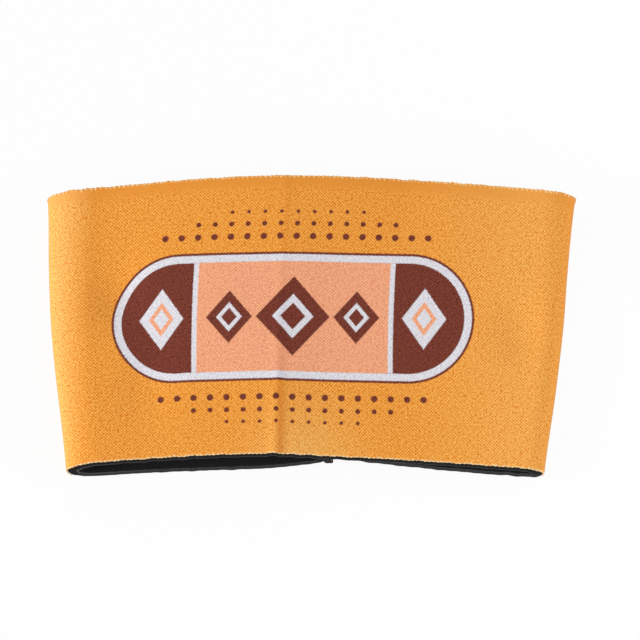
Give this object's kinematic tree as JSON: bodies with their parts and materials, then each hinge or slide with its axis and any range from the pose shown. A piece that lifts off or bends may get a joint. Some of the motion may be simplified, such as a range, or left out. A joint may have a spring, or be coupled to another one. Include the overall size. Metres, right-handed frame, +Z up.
{
  "type": "coffee cup sleeve",
  "caption": "Soft neoprene coffee cup sleeve: an orange knit-faced tapered tube with a dark foam core and lining, sewn by one turned-in seam, lying on its back.",
  "frame": {"origin": "on the ground under the middle of the lying sleeve", "axes": "+X across the lying sleeve, +Y from the narrow rim to the wide rim, +Z up from the seamed back panel to the front panel"},
  "size_m": [0.1274, 0.0752, 0.0164],
  "materials": {
    "face": "matte dyed polyester knit",
    "foam": "matte cut closed-cell foam",
    "lining": "matte ribbed polyester knit",
    "thread": "spun polyester thread"
  },
  "bodies": {
    "root": {"face_knit": "face", "foam_core": "foam", "lining_knit": "lining", "seam_thread": "thread"}
  },
  "joints": []
}
